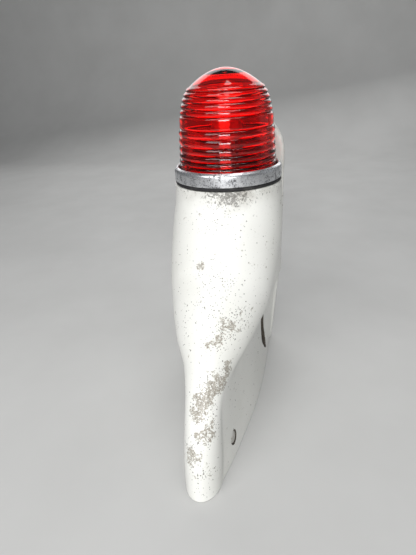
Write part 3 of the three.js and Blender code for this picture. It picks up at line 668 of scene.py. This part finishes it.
# ---- housing --------------------------------------------------------------
def horn_rings(inset, rings, sides):
    """Rings round the horn's centre line, the last one carried on under the base."""
    nudge, tail = 0.002, 8
    result = []
    for i in range(rings + 1):
        t = i / rings
        y, z = spline(HORN[:, :2], t)
        width, depth = spline(HORN[:, 2:], t) - inset
        ahead = (spline(HORN[:, :2], min(t + nudge, 1))
                 - spline(HORN[:, :2], max(t - nudge, 0)))
        along = Vector((0, *ahead)).normalized() if i else Vector((0, 0, -1))
        front = Vector((1, 0, 0)).cross(along)
        ring = []
        for k in range(sides):
            angle = 2 * math.pi * k / sides
            ring.append(Vector((0, y, z)) + front * math.cos(angle) * depth
                        + Vector((math.sin(angle) * width, 0, 0)))
        result.append(ring)
    result.append([p + along * tail for p in result[-1]])
    return result


def keel_rings(inset, start, end, bottom, stations, levels):
    """Upright sections of the flanks from nose to shield, crowned near the shield."""
    result = []
    for i in range(stations + 1):
        y = start + (end - start) * i / stations
        pod = horn_at(y)
        top = min(pod[0], KEEL_TOP) - inset
        roundness = float(smoothstep(y, CROWN_START, CROWN_FULL))
        right = []
        for k in range(levels + 1):
            z = bottom + (top - bottom) * k / levels
            over = min(max((z - top + CROWN) / CROWN, 0), 1) * roundness
            half = side_at(y, max(z, 0), pod) - inset
            half *= math.sqrt(1 - CROWN_CUT * over ** CROWN_POWER)
            right.append((max(half, 1), y, z))
        left = [(-x, y, z) for x, y, z in reversed(right)]
        result.append(right + left)
    return result


def shield_outline(inset, steps=90):
    """Points up the right side, over the arch and down the left, in x and z."""
    heights = np.linspace(-BELOW, SHIELD_SHOULDER, steps // 2)
    side = [(shield_at(z) - inset, z) for z in heights]
    half, rise = shield_at(SHIELD_SHOULDER) - inset, SHIELD_TOP - SHIELD_SHOULDER - inset
    arch = [(half * math.cos(a), SHIELD_SHOULDER + rise * math.sin(a))
            for a in np.linspace(0, math.pi, steps)[1:-1]]
    return side + arch + [(-x, z) for x, z in reversed(side)]


def shield_plate():
    """The shield as a plate with rounded edges."""
    edge, steps = 2.6, 6
    rings = []
    for k in range(steps + 1):
        angle = math.pi / 2 * k / steps
        rings.append((edge * (1 - math.sin(angle)),
                      SHIELD_FRONT + edge * (1 - math.cos(angle))))
    rings += [(inset, SHIELD_BACK + SHIELD_FRONT - y) for inset, y in reversed(rings)]
    return loft([[(x, y, z) for x, z in shield_outline(inset)] for inset, y in rings])


def edge_lip(side):
    """The raised lip up the front edge of the shield's lower part."""
    radius, top, taper, inset = 1.25, 133, 12, 1.5
    middle, bulge = SHIELD_FRONT + 0.1, 1.3
    rings = []
    for z in np.linspace(-BELOW, top, 60):
        r = radius * math.sqrt(max(1 - max(z - top + taper, 0) ** 2 / (taper ** 2 + 0.5), 0.02))
        x = shield_at(max(z, 0)) - inset
        rings.append([(side * (x + r * math.cos(a)), middle + bulge * r * math.sin(a), z)
                      for a in np.linspace(0, 2 * math.pi, 12, endpoint=False)])
    return loft(rings)


def side_place(screw, side):
    """Where a side screw sits: its point on the wall and the outward normal."""
    y, z = screw
    step = 0.5
    slope_y = (side_at(y + step, z) - side_at(y - step, z)) / (2 * step)
    slope_z = (side_at(y, z + step) - side_at(y, z - step)) / (2 * step)
    return (Vector((side * side_at(y, z), y, z)),
            Vector((side, -slope_y, -slope_z)).normalized())


def turn_to_side(piece, screw, side):
    """Move a piece made about Z so that +Z looks out of the side wall."""
    point, normal = side_place(screw, side)
    turn = Vector((0, 0, 1)).rotation_difference(normal).to_matrix().to_4x4()
    piece.data.transform(Matrix.Translation(point * MM) @ turn)
    return piece


def slot_cutter():
    """Ragged wiring opening in the right side wall."""
    corners = [(14, 8), (3, 14), (-1, 28), (0, 50), (11, 72), (16, 55), (13, 34), (18, 20)]
    inner, outer, rag = 14, 52, 0.45
    outline = []
    for i in range(0, len(corners), 2):
        a, b, c = (np.array(corners[(i + k) % len(corners)], float) for k in range(3))
        for w in np.linspace(0, 1, 14, endpoint=False):
            outline.append((1 - w) ** 2 * a + 2 * w * (1 - w) * b + w * w * c)
    ragged = [p + rng.uniform(-rag, rag, 2) for p in outline]
    return new_piece("slot", *loft([[(x, y, z) for y, z in ragged] for x in (inner, outer)]))


def threaded_neck(bottom):
    """The tube that the ring screws onto, with three turns of thread as rings."""
    bore, root, crest = SPIGOT_RADIUS - WALL, SPIGOT_RADIUS - 0.9, SPIGOT_RADIUS
    profile = [(bore, bottom), (root, bottom), (root, SEAT_Z + 0.3)]
    for k in range(3):
        z = SEAT_Z + 0.9 + 1.7 * k
        profile += [(root, z), (crest, z + 0.5), (crest, z + 0.9), (root, z + 1.4)]
    profile += [(root, SPIGOT_TOP), (bore, SPIGOT_TOP)]
    return turned("neck", profile + [profile[0]], sides=160)


def side_sink():
    """Cutter for a countersunk hole: shank below, head's sink, clear above."""
    deep, high, rim = -8, 3, SINK_RADIUS + 0.5
    return turned("sink", [(0, deep), (HOLE_RADIUS, deep), (HOLE_RADIUS, -SINK_DEPTH),
                           (SINK_RADIUS - 0.1, -0.1), (rim, 0.4), (rim, high), (0, high)],
                  sides=64)


def housing():
    """The casting: outer skins melted into one, then hollowed, bored and cut."""
    seat_radius, seat_clear, hole_radius, hole_top = 47.1, 260, 33, 200
    skin_voxel, skin_rounds, hollow_voxel, hollow_rounds = 1.15, 14, 1.6, 8
    low, high = BEYOND
    skin = join("housing_skin", [
        new_piece("horn", *loft([[tuple(p) for p in ring] for ring in horn_rings(0, 110, 96)])),
        new_piece("keel", *loft(keel_rings(0, KEEL_NOSE, SHIELD_FRONT + 1, -BELOW, 110, 70))),
        block("web", (-WEB, 18, 100), (WEB, SHIELD_FRONT + 1, SEAT_Z - 0.2)),
        new_piece("shield", *shield_plate()),
        new_piece("lip_right", *edge_lip(1)), new_piece("lip_left", *edge_lip(-1)),
    ])
    remesh(skin, skin_voxel)

    def free(points):
        """Smooth the body fully, the nose less, the seat's rim and shield hardly."""
        body = 1 - smoothstep(points[:, 1], SHIELD_FRONT - 5, SHIELD_FRONT + 1)
        rim = smoothstep(points[:, 2], SEAT_Z - 8, SEAT_Z - 2)
        nose = 0.3 + 0.7 * smoothstep(points[:, 1], -140, -112)
        return np.maximum(body * nose * (1 - 0.9 * rim), 0.06)
    relax(skin, skin_rounds, free)
    skin.data.materials.append(ENAMEL)
    # Slot 1 is the dark bare casting: painted shade for the inside of the hollow and the wiring
    # slot.
    skin.data.materials.append(CASTING_AND_SHADE)

    seat = turned("cut", [(0, SEAT_Z), (seat_radius, SEAT_Z), (seat_radius, seat_clear),
                          (0, seat_clear)])
    boolean(skin, seat, "DIFFERENCE")
    boolean(skin, block("cut", (*low, -30), (*high, 0)), "DIFFERENCE")

    ceiling = SEAT_Z - 4
    hollow = join("hollow", [
        new_piece("a", *loft([[tuple(p) for p in ring] for ring in horn_rings(WALL, 50, 48)])),
        new_piece("b", *loft(keel_rings(WALL, KEEL_NOSE + 1, SHIELD_FRONT - WALL, -4, 50, 30))),
        block("c", (WALL - WEB, 20, 90), (WEB - WALL, SHIELD_FRONT - WALL, ceiling + 4)),
    ])
    remesh(hollow, hollow_voxel)
    relax(hollow, hollow_rounds, lambda points: np.ones(len(points)))
    boolean(hollow, block("cut", (*low, ceiling), (*high, 230)), "DIFFERENCE")
    # The hollow's walls take slot 1, the dark casting that paints the shade inside.
    boolean(skin, hollow, "DIFFERENCE", 1)

    boolean(skin, threaded_neck(ceiling - 0.5), "UNION")
    hole = turned("hole", [(0, ceiling - 8), (hole_radius, ceiling - 8),
                           (hole_radius, hole_top), (0, hole_top)])
    boolean(skin, hole, "DIFFERENCE")
    for side in (-1, 1):
        for screw in (NOSE_SCREW, REAR_SCREW):
            boolean(skin, turn_to_side(side_sink(), screw, side), "DIFFERENCE", 1)
    boolean(skin, slot_cutter(), "DIFFERENCE", 1)
    soft_shade(skin, 40)
    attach(skin, "root")
    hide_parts("housing")


housing()


# ---- screws in the sides --------------------------------------------------
def side_screws():
    """Countersunk slotted heads, each at its own angle, on the CAD's places."""
    lengths = {NOSE_SCREW: 12, REAR_SCREW: 20}
    face, radius = -0.55, SINK_RADIUS - 1.3
    core, crest, pitch = 2.0, 2.45, 0.8
    for label, screw in (("front", NOSE_SCREW), ("rear", REAR_SCREW)):
        for side_name, side in (("left", -1), ("right", 1)):
            shank = -lengths[screw]
            profile = [(0, shank), (1.9, shank)]
            z = shank + 0.6
            while z < face - 4:
                profile += [(core, z), (crest, z + 0.4), (core, z + pitch)]
                z += pitch
            profile += [(2.4, face - 3), (radius - 0.1, face - 0.5), (radius, face - 0.3),
                        (radius - 0.25, face - 0.05), (radius * 0.6, face + 0.06),
                        (0, face + 0.1)]
            head = turned(f"screw_{label}_{side_name}", profile, sides=56)
            slot = block("slot", (-0.55, -8, face - 1.2), (0.55, 8, 2))
            slot.data.transform(Matrix.Rotation(random.uniform(0.3, 2.6), 4, "Z"))
            boolean(head, slot, "DIFFERENCE")
            head.data.materials.clear()
            head.data.materials.append(SCREW_STEEL)
            turn_to_side(head, screw, side)
            soft_shade(head, 35)
            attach(head, "root")
            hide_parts(f"side_screw_{label}_{side_name}")


side_screws()


# ---- gasket, ring and lens ------------------------------------------------
def gasket():
    """Flat rubber ring between the seat and the screw ring, slightly bulged."""
    low, high = SEAT_Z + GAP, BEZEL_LOW - GAP
    bore, edge, bulge = SPIGOT_RADIUS + 0.5, BEZEL_RADIUS - 0.45, BEZEL_RADIUS - 0.3
    profile = [(bore, low), (edge, low), (bulge, (low + high) / 2), (edge, high), (bore, high)]
    piece = turned("gasket_skin", rounded(profile + [profile[0]], 0.5), RUBBER, 160)
    soft_shade(piece)
    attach(piece, "root")
    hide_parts("seat_gasket")


def bezel():
    """Screw ring: rolled lip over the lens, plain wall, small dents in its edge."""
    bore, lip = SPIGOT_RADIUS + 0.45, LENS_RADIUS + 1.0
    low, top, shelf = BEZEL_LOW + 0.05, BEZEL_HIGH, LENS_FOOT + SHELF
    profile = [(bore, low), (BEZEL_RADIUS - 0.05, low), (BEZEL_RADIUS, top - 2.9),
               (BEZEL_RADIUS - 0.7, top - 1.5), (lip + 0.9, top - 0.1),
               (lip + 0.1, top - 0.7), (lip, shelf), (bore, shelf)]
    piece = turned("ring_skin", rounded(profile + [profile[0]], 0.55, 5), CHROME, 220)
    points = np.array([v.co for v in piece.data.vertices])
    angle = np.arctan2(points[:, 1], points[:, 0])
    places = ((-2.2, 0.03), (-1.1, 0.05), (-1.75, 0.025), (0.6, 0.04), (2.4, 0.05))
    dents = sum(0.10 * np.exp(-(((angle - a + math.pi) % (2 * math.pi) - math.pi) / w) ** 2)
                for a, w in places)
    outer = np.hypot(points[:, 0], points[:, 1]) > (BEZEL_RADIUS - 1) * MM
    points[outer, :2] *= (1 - dents[outer] * 0.012)[:, None]
    piece.data.vertices.foreach_set("co", points.ravel())
    soft_shade(piece, 40)
    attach(piece, "bezel")
    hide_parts("bezel_ring")


def lens():
    """Pressed glass lens: stepped prism ribs, a plain belt, and a smooth dome."""
    foot, flange = LENS_FOOT, LENS_FOOT + FLANGE
    edge, round_off = SPIGOT_RADIUS - GAP, 0.4
    outline = [(edge - round_off, foot), (edge, foot + round_off), (edge, flange - round_off),
               (edge - round_off, flange), (LENS_RADIUS - 0.3, flange)]

    def ribs(count, height_at, radius_at, groove, last):
        """A stack of bulging ribs at growing heights, with grooves between them."""
        for i in range(count):
            low = (height_at(i - 1) + height_at(i)) / 2
            high = (height_at(i) + height_at(i + 1)) / 2 if i < count - 1 else last
            for w in np.linspace(0, 1, 15)[:-1]:
                bulge = 1 - abs(2 * w - 1) ** rib_power
                base = radius_at(i - 0.5 + w)
                outline.append((base - groove * (1 - bulge), low + (high - low) * w))
    rib_power = 2.2
    belt_low, belt_high, belt_radius, belt_draft = 233.2, 242.6, 38.1, 0.45
    ribs(6, lambda i: 204.5 + 3.31 * i + 0.39 * i * i, lambda i: LENS_RADIUS - 0.26 * i, 1.35,
         belt_low)
    for w in np.linspace(0, 1, 20):
        ends = abs(2 * w - 1) ** 9
        outline.append((belt_radius - ends - belt_draft * w,
                        belt_low + (belt_high - belt_low) * w))
    ribs(5, lambda i: 245.4 + 4.9 * i - 0.2 * i * i, lambda i: 37 - 0.6 * i - 0.24 * i * i, 1.2,
         263.4)
    top = LENS_TOP
    dome_radius, dome_height, dome_power = 28, 12.4, 1.9
    for share in np.linspace(1, 0, 28):
        outline.append((dome_radius * share, top - dome_height * share ** dome_power))
    inside = [(0, top - 4)]
    for z, r in ((top - 6.6, 13), (top - 12.5, 22.5), (256, 28.6), (245, 32.6), (226, 35),
                 (foot + 0.5, 36)):
        inside.append((r, z))
    smooth_inside = [inside[0]]
    for t in np.linspace(0, 1, 40)[1:]:
        smooth_inside.append(tuple(spline(np.array(inside, float), t)))
    profile = outline + smooth_inside + [outline[0]]
    piece = turned("lens_skin", profile, LENS_GLASS, 192)
    soft_shade(piece, 38)
    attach(piece, "lens")
    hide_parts("lens")


def bulb():
    """The bulb's envelope and its bayonet cap with two pins and a solder tip."""
    low, high = (corner.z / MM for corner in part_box("bulb_glass"))
    radius, inner, neck = 13.2, 12.4, 6.8
    centre, bore, collar = high - radius, neck - 0.8, low + 5
    start, steps = -1.02, 24
    profile = [(bore, low), (neck, low), (neck, collar)]
    for angle in np.linspace(start, math.pi / 2, steps):
        profile.append((radius * math.cos(angle), centre + radius * math.sin(angle)))
    profile[-1] = (0, high)
    crown = len(profile)
    for angle in np.linspace(math.pi / 2, start, steps):
        profile.append((inner * math.cos(angle), centre + inner * math.sin(angle)))
    profile[crown] = (0, high - 0.8)
    profile += [(bore, collar), (bore, low)]
    glass = turned("bulb_envelope", profile, BULB_GLASS, 72)
    soft_shade(glass)
    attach(glass, "bulb")
    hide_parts("bulb_glass")

    low, high = (corner.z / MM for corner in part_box("bulb_cap"))
    cap_radius, pin_z = 7.5, 197
    wall = [(0, low), (2.4, low), (2.6, low + 0.5), (5.8, low + 0.7),
            (cap_radius - 0.2, low + 1.6), (cap_radius, low + 2.4), (cap_radius, low + 12),
            (cap_radius - 0.3, low + 12.6), (cap_radius, low + 13.2),
            (cap_radius, high - 0.5), (cap_radius - 0.4, high), (0, high)]
    cap = turned("cap", wall, sides=72)
    for side in (-1, 1):
        pin = turned("pin", [(0, 5), (1, 5), (1, 8.4), (0.8, 8.65), (0, 8.7)], sides=24)
        pin.data.transform(Matrix.Translation((0, 0, pin_z * MM))
                           @ Matrix.Rotation(side * math.pi / 2, 4, "Y"))
        boolean(cap, pin, "UNION")
    cap.data.materials.clear()
    cap.data.materials.append(BRASS)
    soft_shade(cap)
    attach(cap, "bulb")
    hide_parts("bulb_cap")


gasket()
bezel()
lens()
bulb()


# ---- the CAD pieces that keep their own mesh -------------------------------
def finish_nodes():
    """Give each of them the material of its kind."""
    looks = {
        GALVANISED: ["base_plate", "front_strap", "rear_strap"],
        STEEL: ["strap_rivet_1", "strap_rivet_2", "strap_rivet_3", "strap_rivet_4",
                "filament", "socket_spring", "earth_tag", "bracket_screw_left",
                "bracket_screw_right"],
        RUBBER: ["cable_grommet", "lens_washer"],
        BRASS: ["contact_plunger", "socket_shell", "centre_terminal",
                "socket_bracket", "socket_rivet_1", "socket_rivet_2", "terminal_screw_left",
                "terminal_screw_right"],
        BULB_GLASS: ["filament_stem"],
        BAKELITE: ["contact_disc", "socket_base", "terminal_block"],
        RED_LEAD: ["lead_positive"],
        BLACK_LEAD: ["lead_negative"],
    }
    for material, names in looks.items():
        for name in names:
            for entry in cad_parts[name].material_slots:
                entry.material = material


finish_nodes()
